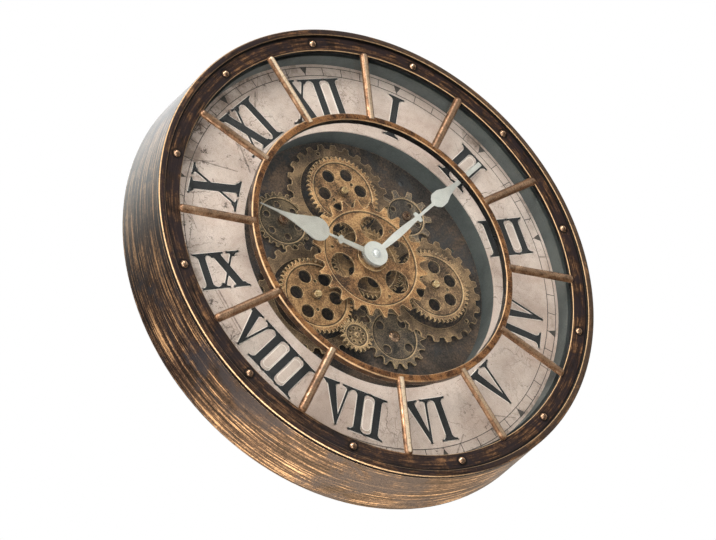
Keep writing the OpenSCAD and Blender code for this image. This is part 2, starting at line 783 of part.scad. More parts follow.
case_drum();
front_bezel();
bezel_rivets();
grille_ring();
grille_bars();
glass_gasket();
glass_pane();
front_spacer();
rear_spacer();
dial_ring();
dial_numerals();
gear_well();
movement_plate();
chassis_screws();
toothed_ring_top();
toothed_ring_right();
toothed_ring_left();
ring_standoffs();
fixed_gear_bottom();
fixed_gear_left();
fixed_gear_upper();
gear_rivets();
satellite_posts();
axle_washers();
axle_screws();
hub_bearing();
centre_wheel();
centre_fine_gear();
centre_tube();
satellite_gear_top();
satellite_gear_right();
satellite_gear_left();
drive_gear();
drive_shaft();
reduction_gear();
motor_pinion();
drive_motor();
drive_case();
drive_cells();
battery_door();
power_switch();
movement_case();
movement_cover();
movement_bush();
movement_nut();
movement_washer();
movement_cell();
minute_hand();
minute_shaft();
minute_nut();
setting_knob();
hour_hand();
hour_wheel();
minute_wheel();
back_board();
board_screws();
hanger_plate();
wall_bumpers();
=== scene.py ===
# %% [markdown]
# # A gear wall clock, dressed for its picture
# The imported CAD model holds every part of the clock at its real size. This lesson gives each part its
# finish, adds the thin printed and raised detail that a solid model leaves out, and sets the camera and
# the studio. All lengths are in metres. The clock hangs in the plane Y = 0, its dial faces -Y, and
# twelve o'clock is +Z.

# %% Load the CAD frame
import math

import bmesh
import bpy
from mathutils import Matrix, Vector, noise


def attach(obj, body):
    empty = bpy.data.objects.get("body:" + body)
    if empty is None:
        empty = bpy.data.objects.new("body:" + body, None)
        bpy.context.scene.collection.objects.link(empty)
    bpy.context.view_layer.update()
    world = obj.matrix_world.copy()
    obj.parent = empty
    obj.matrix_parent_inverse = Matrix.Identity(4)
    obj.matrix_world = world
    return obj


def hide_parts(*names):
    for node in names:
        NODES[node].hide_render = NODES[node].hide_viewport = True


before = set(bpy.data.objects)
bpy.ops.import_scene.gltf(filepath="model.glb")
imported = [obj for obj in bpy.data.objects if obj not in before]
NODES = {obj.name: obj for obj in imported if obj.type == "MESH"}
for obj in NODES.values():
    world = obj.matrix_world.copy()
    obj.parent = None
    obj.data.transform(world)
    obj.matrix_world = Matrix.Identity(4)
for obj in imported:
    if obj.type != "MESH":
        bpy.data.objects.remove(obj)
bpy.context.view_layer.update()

MM = 0.001

# %% [markdown]
# ## Camera first
# The photograph looks at the clock from below and from its left, with the camera rolled over. Matching
# the front rim, the back rim and the rivets by hand in a viewport would take hours, so the place and
# turn come from a fit to those circles and are written here as plain numbers: where the lens is, and the
# directions of the picture's right and up.

# %% Camera
def new_object(name, data):
    made = bpy.data.objects.new(name, data)
    bpy.context.scene.collection.objects.link(made)
    return made


LENS_PLACE = Vector((-1392.6, -1842.4, -774.4)) * MM
PICTURE_RIGHT = Vector((0.813708, -0.488041, -0.315747))
PICTURE_UP = Vector((0.081501, -0.442040, 0.893285))
BACKWARD = Vector((-0.575532, -0.752606, -0.319916))
camera_data = bpy.data.cameras.new("studio_camera")
camera_data.sensor_width = 36.0
camera_data.lens = 114.53
camera_data.clip_end = 50.0
camera = new_object("studio_camera", camera_data)
camera.matrix_world = Matrix.Translation(LENS_PLACE) @ Matrix(
    (PICTURE_RIGHT, PICTURE_UP, BACKWARD)).transposed().to_4x4()
bpy.context.scene.camera = camera
print("camera at", [round(v, 3) for v in camera.location], "lens", camera_data.lens)

# %% [markdown]
# ## Helpers for materials
# A procedural material is a small tree of nodes. A few helpers keep that short: `add` makes a node, sets
# its options and either fills or links each input, `srgb` turns a colour read off a screen into the
# linear numbers that Blender computes with, `level` stretches a range of values to another, `weighed` adds
# up patterns by their shares, and the other short ones stand for the sums that come up most.

# %% Node helpers
def srgb(red, green, blue):
    def linear(value):
        value /= 255
        return value / 12.92 if value <= 0.04045 else ((value + 0.055) / 1.055) ** 2.4
    return (linear(red), linear(green), linear(blue), 1.0)


def feed(tree, node, inputs):
    for key, value in inputs.items():
        if isinstance(value, bpy.types.NodeSocket):
            tree.links.new(value, node.inputs[key])
        else:
            node.inputs[key].default_value = value


def add(tree, kind, inputs=None, **options):
    node = tree.nodes.new("ShaderNode" + kind)
    for key, value in options.items():
        setattr(node, key, value)
    feed(tree, node, inputs or {})
    return node


def calc(tree, operation, first, second=0.0):
    return add(tree, "Math", {0: first, 1: second}, operation=operation).outputs[0]


def times(tree, first, second):
    return calc(tree, "MULTIPLY", first, second)


def plus(tree, first, second):
    return calc(tree, "ADD", first, second)


def minus(tree, first, second):
    return calc(tree, "SUBTRACT", first, second)


def weighed(tree, shares):
    total = 0.0
    for pattern, share in shares:
        total = plus(tree, total, times(tree, pattern, share))
    return total


def split(tree, vector):
    return add(tree, "SeparateXYZ", {0: vector}).outputs


def dot(tree, first, second):
    return add(tree, "VectorMath", {0: first, 1: second}, operation="DOT_PRODUCT").outputs["Value"]


def flattened(tree, vector):
    """Same place pressed flat onto the wall, as a direction from the dial's axis."""
    axes = split(tree, vector)
    return add(tree, "CombineXYZ", {0: axes[0], 2: axes[2]}).outputs[0]


def length_of(tree, vector):
    return add(tree, "VectorMath", {0: vector}, operation="LENGTH").outputs["Value"]


def cloud_noise(tree, place, scale, detail, roughness=0.5, distortion=0.0):
    return add(tree, "TexNoise", {"Vector": place, "Scale": scale, "Detail": detail,
                                  "Roughness": roughness, "Distortion": distortion}).outputs


def blend(tree, amount, first, second):
    return add(tree, "Mix", {0: amount, 6: first, 7: second}, data_type="RGBA").outputs[2]


def level(tree, value, low, high, out_low=0.0, out_high=1.0):
    return add(tree, "MapRange", {0: value, 1: low, 2: high, 3: out_low, 4: out_high}).outputs[0]


def ramp(tree, value, stops):
    node = add(tree, "ValToRGB", {0: value})
    elements = node.color_ramp.elements
    while len(elements) < len(stops):
        elements.new(0.5)
    for element, (place, colour) in zip(elements, stops):
        element.position = place
        element.color = colour
    return node.outputs[0]


MATERIALS = {}


def start_material(name):
    MATERIALS[name] = made = bpy.data.materials.new(name)
    made.use_nodes = True
    tree = made.node_tree
    place = add(tree, "TexCoord").outputs["Object"]
    return tree, tree.nodes["Principled BSDF"], place


VECTOR, FLOAT = "NodeSocketVector", "NodeSocketFloat"


def start_group(name, inputs, outputs):
    tree = bpy.data.node_groups.new(name, "ShaderNodeTree")
    for label, kind, value in inputs:
        socket = tree.interface.new_socket(label, in_out="INPUT", socket_type=kind)
        if value is not None:
            socket.default_value = value
    for label, kind in outputs:
        tree.interface.new_socket(label, in_out="OUTPUT", socket_type=kind)
    return tree, tree.nodes.new("NodeGroupInput").outputs, tree.nodes.new("NodeGroupOutput").inputs


def use_group(tree, group, inputs):
    node = tree.nodes.new("ShaderNodeGroup")
    node.node_tree = group
    feed(tree, node, inputs)
    return node.outputs


print("node helpers ready")

# %% [markdown]
# ## Shared effects
# Four effects appear on many parts, so each is a node group that every material places with its own
# values.
#
# * `turned_streaks`: bronze paint rubbed while the round part turned leaves streaks that follow the
#   rim. The group squeezes a noise across the rim, where the distance is depth plus radius, and lets it
#   run long around it.
# * `patina`: the cloudy mottling of aged metal, large stains plus fine grain.
# * `worn_and_lit_edges`: handling brightens edges, and the same pale edge is a painted highlight. The
#   Bevel node returns a rounded normal near an edge, and where that differs from the true normal there is
#   an edge to brighten. The group also says how much a face looks forwards: rubbing reaches fronts and
#   leaves the cut sides dark, and that darkening is partly painted shade on sides turned from the lamps.
# * `grain_bump`: the fine roughness of cast or brushed metal, as a bump on that rounded normal.

# %% Effect: streaks around a turned part
turned_streaks, given, made = start_group(
    "turned_streaks",
    [("Place", VECTOR, None), ("Along", FLOAT, 40.0), ("Across", FLOAT, 900.0), ("Wander", FLOAT, 0.0007)],
    [("Streak", FLOAT), ("Fine", FLOAT)])
parts = split(turned_streaks, given["Place"])
radius = length_of(turned_streaks, flattened(turned_streaks, given["Place"]))
drift = cloud_noise(turned_streaks, given["Place"], 9.0, 2.0)[0]
across = plus(turned_streaks, minus(turned_streaks, radius, parts[1]),
              times(turned_streaks, drift, given["Wander"]))
FINE_SHARE = 2.7          # the fine streaks lie this many times closer
for label, share in (("Streak", 1.0), ("Fine", FINE_SHARE)):
    scaled = [times(turned_streaks, times(turned_streaks, value, given[size]), share)
              for value, size in ((parts[0], "Along"), (across, "Across"), (parts[2], "Along"))]
    squeezed = add(turned_streaks, "CombineXYZ", dict(enumerate(scaled))).outputs[0]
    turned_streaks.links.new(cloud_noise(turned_streaks, squeezed, 1.0, 5.0, 0.6)[0], made[label])
print("group", turned_streaks.name)

# %% Effect: patina
patina, given, made = start_group(
    "patina",
    [("Place", VECTOR, None), ("Stain size", FLOAT, 22.0), ("Grain size", FLOAT, 420.0)],
    [("Stain", FLOAT), ("Grain", FLOAT)])
stain = cloud_noise(patina, given["Place"], given["Stain size"], 9.0, 0.66, 0.6)[0]
grain = cloud_noise(patina, given["Place"], given["Grain size"], 3.0, 0.7)[0]
patina.links.new(stain, made["Stain"])
patina.links.new(grain, made["Grain"])
print("group", patina.name)

# %% Effect: worn edges
worn_and_lit_edges, given, made = start_group(
    "worn_and_lit_edges", [("Radius", FLOAT, 0.0008), ("Break up", FLOAT, 0.5)],
    [("Edge", FLOAT), ("Facing", FLOAT), ("Rounded", VECTOR)])
rounded = add(worn_and_lit_edges, "Bevel", {"Radius": given["Radius"]}, samples=6).outputs[0]
true_normal = add(worn_and_lit_edges, "NewGeometry").outputs["Normal"]
match = dot(worn_and_lit_edges, rounded, true_normal)
# Edge: worn edges, and also a painted highlight along every edge
edge = level(worn_and_lit_edges, minus(worn_and_lit_edges, 1.0, match), 0.008, 0.09)
edge = times(worn_and_lit_edges, edge, level(worn_and_lit_edges, given["Break up"], 0.3, 0.55))
worn_and_lit_edges.links.new(edge, made["Edge"])
# Facing: 1 on fronts, 0 on sides; the recipes darken sides with it, partly unrubbed black and partly
# painted shade
backward = split(worn_and_lit_edges, true_normal)[1]
worn_and_lit_edges.links.new(level(worn_and_lit_edges, backward, -0.3, -0.85), made["Facing"])
worn_and_lit_edges.links.new(rounded, made["Rounded"])
print("group", worn_and_lit_edges.name)

# %% Effect: grain bump
grain_bump, given, made = start_group(
    "grain_bump",
    [("Place", VECTOR, None), ("Size", FLOAT, 700.0), ("Depth", FLOAT, 0.25), ("Rounded", VECTOR, None)],
    [("Normal", VECTOR)])
pits = cloud_noise(grain_bump, given["Place"], given["Size"], 4.0, 0.6)[0]
bump = add(grain_bump, "Bump", {"Height": pits, "Strength": given["Depth"], "Distance": 0.0006,
                                "Normal": given["Rounded"]}).outputs[0]
grain_bump.links.new(bump, made["Normal"])
print("group", grain_bump.name)

# %% [markdown]
# ## Rubbed metal
# The drum, the front ring and the grille are sprayed nearly black, rubbed with bronze and lacquered. The
# gears are thin stampings with an antique gold finish that has darkened in every corner. One recipe
# covers both: a ramp from dark through brown to the rubbed colour over streaks or stains, dark cut
# sides that are partly unrubbed black and partly painted shade, and bright edges that are partly wear
# and partly a painted highlight. `polish` is how much smoother the bright places are than the dark ones,
# `shine` is the strength of the lacquer, and `zones` says which places are black and which are gold,
# which again is partly rubbing and partly painted shade and highlight.

# %% Rubbed metal recipe
WORN_METAL = 0.6          # a worn edge keeps this share of the metallic look


def rubbed_metal(name, dark, middle, light, edge_colour, streaks=None, stain_size=22.0, grain_size=420.0,
                 low=0.36, high=0.64, side_shade=0.35, edge_radius=0.0008, edge_glow=0.8, metal=0.6,
                 rough=0.4, clouds=None, bump_depth=0.3, bump_size=600.0, zones=None, polish=0.18,
                 shine=0.5):
    tree, surface, place = start_material(name)
    dark, middle, light = [srgb(*tone) for tone in (dark, middle, light)]
    mottle = use_group(tree, patina, {"Place": place, "Stain size": stain_size, "Grain size": grain_size})
    wear_and_light = use_group(tree, worn_and_lit_edges, {"Radius": edge_radius, "Break up": mottle["Grain"]})
    if streaks:
        run = use_group(tree, turned_streaks, {"Place": place, "Along": streaks[0], "Across": streaks[1]})
        shares = [(run["Streak"], 0.45), (run["Fine"], 0.23), (mottle["Grain"], 0.12),
                  (mottle["Stain"], 0.20)]
    else:
        shares = [(mottle["Stain"], 0.6), (mottle["Grain"], 0.4)]
    body = level(tree, weighed(tree, shares), low, high)
    colour = ramp(tree, body, [(0.0, dark), (0.5, middle), (1.0, light)])
    if clouds:
        cloud_colour, cloud_size, cloud_low, cloud_high, cloud_amount = clouds
        cloud = use_group(tree, patina, {"Place": place, "Stain size": cloud_size})["Stain"]
        covered = level(tree, cloud, cloud_low, cloud_high, 0.0, cloud_amount)
        colour = blend(tree, covered, colour, cloud_colour)
    # cut sides darkened: partly the unrubbed black, partly painted shade
    colour = blend(tree, level(tree, wear_and_light["Facing"], 0.0, 1.0, 1.0 - side_shade, 0.0), colour, dark)
    edge = times(tree, wear_and_light["Edge"], edge_glow)
    if zones:
        black, gold = zones(tree, place)
        edge = times(tree, edge, minus(tree, 1.0, black))
        if gold:
            gold = times(tree, gold, level(tree, mottle["Grain"], 0.3, 0.5, 0.45, 1.0))
            edge = calc(tree, "MAXIMUM", edge, gold)
        colour = blend(tree, black, colour, GROOVE_AND_SHADE_BLACK)
    # pale edges and gold zones: partly wear, partly painted highlight
    colour = blend(tree, edge, colour, edge_colour)
    shape = use_group(tree, grain_bump, {"Place": place, "Depth": bump_depth, "Size": bump_size,
                                         "Rounded": wear_and_light["Rounded"]})
    feed(tree, surface, {
        "Base Color": colour, "Specular IOR Level": shine, "Normal": shape["Normal"],
        "Metallic": level(tree, edge, 0.0, 1.0, metal, metal * WORN_METAL),
        "Roughness": level(tree, body, 0.0, 1.0, rough + polish / 2, rough - polish / 2)})


# %% [markdown]
# ## Where the metal is black and where it is gold
# Rubbing reaches the corners and crests, leaves the grooves black, and isn't the same all round. Much of
# what the masks add is painted light, though: black that is painted shade on walls and hollows turned from
# the lamps, and gold that is a painted highlight, stronger on the side that catches the light. A zone
# function gives the recipe two masks, black and gold. It works from two measures in millimetres, the
# distance from the dial's axis and the distance out of the wall, so it uses the same numbers as the
# shape. Each mask runs between two limits a little apart, which gives it a soft border. `outer_corner`
# and `inner_corner` mark a thin band over a corner of the outline.
#
# * The front ring is black inside the lip, in the groove and in the bore, partly unrubbed black and
#   partly painted shade, and round each rivet, painted shade. Its gold lines are wear and a painted
#   highlight.
# * The grille ring is black on its inner wall, black paint and painted shade, and gold on its corners,
#   wear and a painted highlight.
# * The bars near twelve and six have pale crests, a painted highlight.
# * The case darkens towards the top, a painted shade, and low down it has a faint veil of gold, painted
#   light.

# %% Zones
# near black for grooves and for painted shade on walls, hollows and steps
GROOVE_AND_SHADE_BLACK = srgb(13, 10, 9)


def ring_measures(tree, place):
    radius = length_of(tree, flattened(tree, place))
    return calc(tree, "DIVIDE", radius, MM), calc(tree, "DIVIDE", split(tree, place)[1], -MM)


SOLID_SHARE = 0.6          # share of a corner band that is fully marked, the rest fades out


def outer_corner(tree, radius, height, corner, reach):
    slant = plus(tree, radius, height)
    return level(tree, slant, sum(corner) - reach, sum(corner) - SOLID_SHARE * reach)


def inner_corner(tree, radius, height, corner, reach):
    slant = minus(tree, height, radius)
    at_corner = corner[1] - corner[0]
    return level(tree, slant, at_corner - reach, at_corner - SOLID_SHARE * reach)


def either(tree, masks):
    joined = masks[0]
    for mask in masks[1:]:
        joined = calc(tree, "MAXIMUM", joined, mask)
    return joined


LIP_OUTER_R, LIP_INNER_R, BORE_R, LIP_OUT, CHANNEL_OUT = 260.5, 253.3, 235.7, 82.4, 79.0
RING_OUTER_R, RING_INNER_R, RING_OUT = 156.9, 148.7, 82.0
# the last two bound the painted shade round the foot of each rivet
RIVET_RING_R, RIVET_PITCH, RIVET_SHADE_OUTER_R, RIVET_SHADE_INNER_R = 244.0, 30.0, 7.0, 5.2


def front_ring_zones(tree, place):
    radius, height = ring_measures(tree, place)
    # black on the lip's inner wall, in the groove and in the bore: partly unrubbed black, partly painted
    # shade
    on_lip = level(tree, height, CHANNEL_OUT + 0.3, CHANNEL_OUT + 0.9)
    lip_wall = times(tree, on_lip, level(tree, radius, LIP_INNER_R + 0.5, LIP_INNER_R + 0.2))
    groove = times(tree, minus(tree, 1.0, on_lip),
                   level(tree, radius, LIP_INNER_R - 2.6, LIP_INNER_R - 1.2))
    bore = times(tree, level(tree, height, CHANNEL_OUT - 0.3, CHANNEL_OUT - 0.7),
                 level(tree, radius, BORE_R + 3.0, BORE_R + 1.0))
    axes = split(tree, place)
    # these weights make the gold lines stronger on the side that catches the light: a painted highlight
    to_left = minus(tree, times(tree, axes[2], -0.1), axes[0])
    left_worn_and_lit = level(tree, to_left, -0.02, 0.17, 0.12, 1.0)
    right_worn_and_lit = level(tree, axes[0], -0.02, 0.16, 0.15, 0.6)
    # faint gold on the lip's face at the right: a painted sheen
    lip_face = times(tree, level(tree, height, LIP_OUT - 0.7, LIP_OUT - 0.3),
                     level(tree, axes[0], 0.0, 0.16, 0.0, 0.06))
    lip_inside = times(tree, on_lip,
                       inner_corner(tree, radius, height, (LIP_INNER_R, LIP_OUT), 1.0))
    bore_edge = inner_corner(tree, radius, height, (BORE_R, CHANNEL_OUT), 0.8)
    # gold lines on the corners: wear and a painted highlight
    golds = [times(tree, left_worn_and_lit,
                   outer_corner(tree, radius, height, (LIP_OUTER_R, LIP_OUT), 1.25)),
             times(tree, right_worn_and_lit, lip_inside), lip_face,
             times(tree, level(tree, axes[0], -0.1, 0.16, 0.35, 0.8), bore_edge)]
    # dark ring round the foot of each rivet: painted shade
    sweep = calc(tree, "ARCTAN2", axes[0], axes[2])
    beside = times(tree, calc(tree, "PINGPONG", sweep, math.radians(RIVET_PITCH / 2)), RIVET_RING_R)
    outward = minus(tree, radius, RIVET_RING_R)
    from_rivet = length_of(tree, add(tree, "CombineXYZ", {0: beside, 1: outward}).outputs[0])
    rivet_shade = level(tree, from_rivet, RIVET_SHADE_OUTER_R, RIVET_SHADE_INNER_R, 0.0, 0.9)
    return either(tree, [lip_wall, groove, bore, rivet_shade]), either(tree, golds)


def grille_ring_zones(tree, place):
    radius, height = ring_measures(tree, place)
    # black inner wall: black paint and painted shade
    inner_wall = times(tree, level(tree, height, RING_OUT - 0.9, RING_OUT - 1.5),
                       level(tree, radius, RING_INNER_R + 2.0, RING_INNER_R + 1.0))
    across = split(tree, place)[0]
    # gold corners, stronger on the side that catches the light: wear and a painted highlight
    left_worn_and_lit = level(tree, across, 0.03, -0.11, 0.15, 0.95)
    right_worn_and_lit = level(tree, across, -0.05, 0.08, 0.15, 0.75)
    golds = [times(tree, left_worn_and_lit,
                   outer_corner(tree, radius, height, (RING_OUTER_R, RING_OUT), 1.9)),
             times(tree, right_worn_and_lit,
                   inner_corner(tree, radius, height, (RING_INNER_R, RING_OUT), 1.5))]
    return inner_wall, either(tree, golds)


# height and sideways place of the painted highlight on the bar crests
BAR_CREST, HIGHLIT_BARS_X = 82.7, -0.03


def bar_zones(tree, place):
    _, height = ring_measures(tree, place)
    off_centre = calc(tree, "ABSOLUTE", minus(tree, split(tree, place)[0], HIGHLIT_BARS_X))
    # pale crest: a painted highlight
    crest = level(tree, height, BAR_CREST - 0.35, BAR_CREST + 0.15)
    return 0.0, times(tree, crest, level(tree, off_centre, 0.11, 0.03, 0.12, 0.85))


def case_zones(tree, place):
    # darker towards the top: painted shade; a faint gold towards the bottom: painted light
    upward = split(tree, place)[2]
    return level(tree, upward, -0.19, 0.06, 0.0, 0.62), level(tree, upward, -0.08, -0.25, 0.0, 0.07)


print("zones: front ring, grille ring, bars and case")

# %% Bronze of the case and grille
# pale edge colour of the bronzes: worn edges that also carry a painted highlight
EDGE_GOLD = srgb(232, 190, 142)
# cream of the painted highlight on the bar crests
CREST_HIGHLIGHT_CREAM = srgb(250, 226, 194)
rubbed_metal(
    "case_bronze", (15, 11, 9), (70, 50, 37), (200, 154, 108), EDGE_GOLD,
    streaks=(10.0, 450.0), stain_size=20.0, low=0.44, high=0.60, side_shade=1.0, edge_radius=0.0010,
    edge_glow=0.5, metal=0.08, rough=0.40, clouds=(srgb(38, 37, 41), 13.0, 0.50, 0.59, 0.85),
    bump_depth=0.2, polish=0.04, shine=0.2, zones=case_zones)
rubbed_metal(
    "bezel_bronze", (14, 10, 8), (64, 45, 34), (152, 110, 76), EDGE_GOLD,
    streaks=(28.0, 420.0), stain_size=60.0, low=0.42, high=0.61, side_shade=0.45, edge_radius=0.0008,
    edge_glow=0.6, metal=0.35, rough=0.40, clouds=(srgb(42, 33, 35), 38.0, 0.44, 0.56, 0.85),
    bump_depth=0.4, shine=0.3, zones=front_ring_zones)
rubbed_metal(
    "grille_bronze", (40, 25, 17), (108, 72, 46), (180, 128, 82), EDGE_GOLD,
    stain_size=90.0, grain_size=600.0, low=0.40, high=0.60, side_shade=0.2, edge_radius=0.0008,
    edge_glow=0.5, metal=0.5, rough=0.34, bump_depth=0.7, bump_size=330.0, zones=grille_ring_zones)
rubbed_metal(
    "bar_bronze", (60, 39, 28), (136, 99, 71), (224, 182, 145), CREST_HIGHLIGHT_CREAM,
    stain_size=100.0, grain_size=500.0, low=0.36, high=0.67, side_shade=0.8, edge_radius=0.0005,
    edge_glow=0.5, metal=0.72, rough=0.30, bump_depth=0.02, bump_size=260.0, zones=bar_zones)
rubbed_metal(
    "rivet_bronze", (96, 72, 58), (168, 134, 108), (226, 192, 160), EDGE_GOLD,
    stain_size=300.0, side_shade=0.9, edge_radius=0.0004, edge_glow=0.4, metal=0.9, rough=0.18,
    bump_depth=0.1)
print("bronzes: 5")

# %% [markdown]
# Each gear has a rim that stands above its web. Every gear gets a pale line on the lip of that step, a
# painted highlight, and a dark line just inside it, painted shade where the rim stands over the web,
# `RIM_LINE` outside its radius and `WEB_LINE` inside; the web darkens a little towards the step as well,
# more painted shade. The gear's axis is the middle of its own box, read from the frame, and the number
# beside each gear's name is the radius of its step in millimetres.

# %% Antique gold of the gears
# pale edge colour of the gears: worn edges that also carry a painted highlight
GEAR_EDGE = srgb(236, 198, 146)
WEB_LINE, RIM_LINE = 0.8, 0.6


def gear_axis(node_name):
    corners = [NODES[node_name].matrix_world @ Vector(corner) for corner in NODES[node_name].bound_box]
    middle = sum(corners, Vector()) / len(corners)
    return Vector((middle.x, 0.0, middle.z))


def gear_zones(axis, web_radius):
    def zones(tree, place):
        from_axis = add(tree, "VectorMath", {0: place, 1: axis}, operation="SUBTRACT").outputs[0]
        radius, _ = ring_measures(tree, from_axis)
        # dark line inside the step and the darkening of the web beside it: painted shade; pale line on the
        # rim: painted highlight
        in_web = calc(tree, "ABSOLUTE", minus(tree, radius, web_radius - WEB_LINE))
        on_rim = calc(tree, "ABSOLUTE", minus(tree, radius, web_radius + RIM_LINE))
        web_shade = level(tree, radius, web_radius, web_radius - 1.2, 0.0, 0.22)
        step_shade = calc(tree, "MAXIMUM", level(tree, in_web, 1.2, 0.5, 0.0, 0.85), web_shade)
        return step_shade, level(tree, on_rim, 0.7, 0.3, 0.0, 0.42)
    return zones


def gear_gold(name, dark, middle, light, rough=0.4, edge=GEAR_EDGE, **changes):
    values = {"stain_size": 34.0, "grain_size": 700.0, "low": 0.41, "high": 0.60, "side_shade": 0.25,
              "edge_radius": 0.0014, "edge_glow": 1.0, "metal": 0.45, "bump_depth": 0.35,
              "bump_size": 520.0}
    values.update(changes)
    rubbed_metal(name, dark, middle, light, edge, rough=rough, **values)


# gears that are one part, such as the three satellites, get different tones; part of that difference is
# painted light and shade
GEAR_GOLDS = [("centre_wheel", 55.6, (66, 43, 27), (164, 118, 76), (231, 182, 126)),
              ("satellite_gear_top", 35.9, (66, 48, 34), (171, 128, 86), (248, 197, 140)),
              ("satellite_gear_right", 35.9, (53, 42, 34), (146, 114, 84), (218, 178, 131)),
              ("satellite_gear_left", 35.9, (55, 41, 28), (152, 112, 74), (227, 178, 124)),
              ("drive_gear", 12.4, (55, 44, 33), (140, 114, 84), (210, 173, 128)),
              ("fixed_gear_bottom", 26.6, (44, 41, 39), (112, 98, 84), (180, 152, 118)),
              ("fixed_gear_left", 26.6, (37, 33, 28), (98, 84, 66), (160, 135, 103)),
              ("fixed_gear_upper", 22.0, (66, 60, 56), (134, 118, 102), (196, 170, 138))]
for name, web, dark, middle, light in GEAR_GOLDS:
    gear_gold(name + "_gold", dark, middle, light, zones=gear_zones(gear_axis(name), web))
gear_gold("fine_gold", (58, 44, 32), (128, 98, 66), (190, 152, 106))
gear_gold("ring_gold", (60, 48, 38), (122, 98, 74), (176, 144, 108))
gear_gold("hub_bronze", (58, 38, 24), (150, 108, 68), (226, 182, 128),
          rough=0.24, stain_size=60.0, side_shade=0.5, metal=0.6)
gear_gold("screw_brass", (84, 62, 36), (206, 172, 118), (255, 238, 196),
          rough=0.24, stain_size=250.0, edge_radius=0.0007, side_shade=0.9, metal=0.45)
gear_gold("washer_bronze", (40, 28, 18), (86, 62, 42), (140, 106, 72),
          rough=0.3, stain_size=250.0, edge_radius=0.0004)
print("golds:", len(GEAR_GOLDS) + 5)

# %% [markdown]
# ## Painted sheet, plate, hands and fittings
# The walls of the gear well and of the space behind the glass are matt slate, the plate behind the
# gears is a cloudy brown that darkens beside the wall at the lower left, a painted shadow of the grille
# ring, and the hands are ivory enamel. Most are one colour on the real clock, so faint clouds, grain and
# a changing sheen are what make them read as painted metal. The plastic, rubber and steel of the
# fittings are made the same way.

# %% Plain finishes
def plain_finish(name, first, second, rough, metal=0.0, stain_size=18.0, low=0.36, high=0.66,
                 bump_depth=0.15, grain_share=0.3):
    tree, surface, place = start_material(name)
    mottle = use_group(tree, patina, {"Place": place, "Stain size": stain_size})
    body = weighed(tree, [(mottle["Stain"], 1.0 - grain_share), (mottle["Grain"], grain_share)])
    body = level(tree, body, low, high)
    edges = use_group(tree, worn_and_lit_edges, {"Radius": 0.0004})
    shape = use_group(tree, grain_bump, {"Place": place, "Depth": bump_depth, "Rounded": edges["Rounded"]})
    feed(tree, surface, {
        "Base Color": blend(tree, body, srgb(*first), srgb(*second)), "Metallic": metal,
        "Normal": shape["Normal"],
        "Roughness": level(tree, body, 0.0, 1.0, rough + 0.07, rough - 0.05)})


RING_SHADOW_INNER_R, RING_SHADOW_OUTER_R, LOWER_LEFT = 112.0, 150.0, (-0.7, 0.0, -0.7)


def plate_zones(tree, place):
    radius, _ = ring_measures(tree, place)
    # darker beside the wall at the lower left: painted shadow of the grille ring
    by_the_wall = level(tree, radius, RING_SHADOW_INNER_R, RING_SHADOW_OUTER_R, 0.0, 0.9)
    return times(tree, by_the_wall, level(tree, dot(tree, place, LOWER_LEFT), -0.02, 0.08)), None


rubbed_metal(
    "plate_paint", (27, 25, 26), (84, 70, 60), (136, 108, 86), GEAR_EDGE, stain_size=24.0,
    low=0.40, high=0.62, edge_glow=0.4, metal=0.35, rough=0.45,
    clouds=(srgb(56, 62, 68), 21.0, 0.5, 0.62, 0.65), zones=plate_zones)
plain_finish("slate_paint", (55, 59, 58), (77, 81, 79), 0.55, low=0.4, high=0.62)
plain_finish("ivory_enamel", (168, 166, 160), (190, 188, 182), 0.4, stain_size=40.0,
             grain_share=0.1, bump_depth=0.02)
plain_finish("old_ivory", (145, 141, 133), (167, 163, 155), 0.4, stain_size=40.0,
             grain_share=0.1, bump_depth=0.02)
plain_finish("numeral_ink", (13, 13, 14), (27, 27, 29), 0.55, stain_size=60.0)
plain_finish("print_ink", (44, 39, 36), (84, 75, 68), 0.7, stain_size=90.0)
plain_finish("relief_edge", (222, 208, 197), (240, 228, 218), 0.5, stain_size=60.0)
plain_finish("relief_cream", (186, 164, 151), (210, 192, 181), 0.6, stain_size=60.0)
plain_finish("steel", (150, 152, 152), (196, 198, 198), 0.28, metal=1.0, stain_size=120.0)
plain_finish("nut_nickel", (176, 176, 174), (228, 228, 226), 0.2, metal=0.35, stain_size=300.0)
plain_finish("dark_steel", (58, 58, 60), (96, 96, 98), 0.35, metal=0.9, stain_size=120.0)
plain_finish("black_plastic", (34, 34, 36), (50, 50, 53), 0.48, stain_size=80.0)
plain_finish("black_rubber", (20, 20, 20), (32, 32, 31), 0.75, stain_size=80.0)
plain_finish("red_plastic", (150, 26, 20), (176, 40, 30), 0.35, stain_size=80.0)
plain_finish("gear_nylon", (214, 208, 192), (232, 227, 214), 0.42, stain_size=120.0)
plain_finish("cell_jacket", (176, 96, 30), (206, 122, 44), 0.28, metal=0.6, stain_size=120.0)
plain_finish("board_paint", (62, 46, 33), (96, 74, 54), 0.62, stain_size=30.0,
             grain_share=0.5, bump_depth=0.4)
print("painted and plain finishes: 17")

# %% [markdown]
# ## Aged printed dial
# The dial is card printed to look like old plaster. It is built up like the print: a warm cream with
# clouds, a brown wash that creeps in from the outer edge and is thickest from nine to twelve, partly stain
# and partly a painted shadow of the bezel on the rim, chips of dark brown, crazing, and long straight
# scratches. Cracks are the borders of Voronoi cells, bent by a noise and shown only where another noise
# allows. A scratch is the distance to a line between two places on the dial, roughened by the same noise.

# %% Dial material
tree, surface, place = start_material("dial_cream")
mottle = use_group(tree, patina, {"Place": place, "Stain size": 11.0, "Grain size": 300.0})
wobble = cloud_noise(tree, place, 16.0, 5.0, 0.65)[1]
bent_place = add(tree, "Mix", {0: 0.05, 4: place, 5: wobble}, data_type="VECTOR").outputs[1]
flat_place = flattened(tree, place)
radius, _ = ring_measures(tree, place)


def spots(scale, detail, roughness):
    return cloud_noise(tree, place, scale, detail, roughness)[0]


